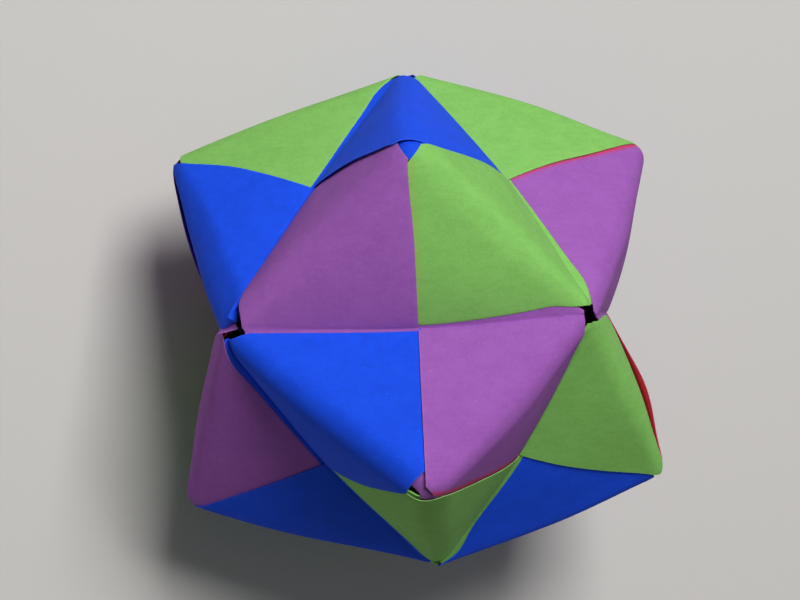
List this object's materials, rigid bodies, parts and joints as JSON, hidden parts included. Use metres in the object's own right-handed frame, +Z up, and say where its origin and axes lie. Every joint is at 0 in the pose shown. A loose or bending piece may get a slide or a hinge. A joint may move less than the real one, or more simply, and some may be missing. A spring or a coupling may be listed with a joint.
{
  "type": "kusudama paper ball",
  "caption": "Star-like paper ball folded from mauve, blue and lime green squares, with soft ridges, held together by tabs in pockets; rests on three of its corners.",
  "frame": {"origin": "the floor point below the centre of the ball, which is the bottom centre of its box", "axes": "+Z up; +Y through two opposite open corners, upwards in the picture; +X to the right in the picture"},
  "size_m": [0.0682, 0.0754, 0.0682],
  "materials": {
    "mauve_paper": "matte coloured-through paper",
    "blue_paper": "matte coloured-through paper",
    "green_paper": "matte coloured-through paper"
  },
  "bodies": {
    "root": {"mauve_top": "mauve_paper", "mauve_right": "mauve_paper", "mauve_bottom": "mauve_paper", "mauve_left": "mauve_paper", "blue_far_left": "blue_paper", "blue_far_right": "blue_paper", "blue_near_left": "blue_paper", "blue_near_right": "blue_paper", "green_far_high": "green_paper", "green_far_low": "green_paper", "green_near_high": "green_paper", "green_near_low": "green_paper"}
  },
  "joints": []
}
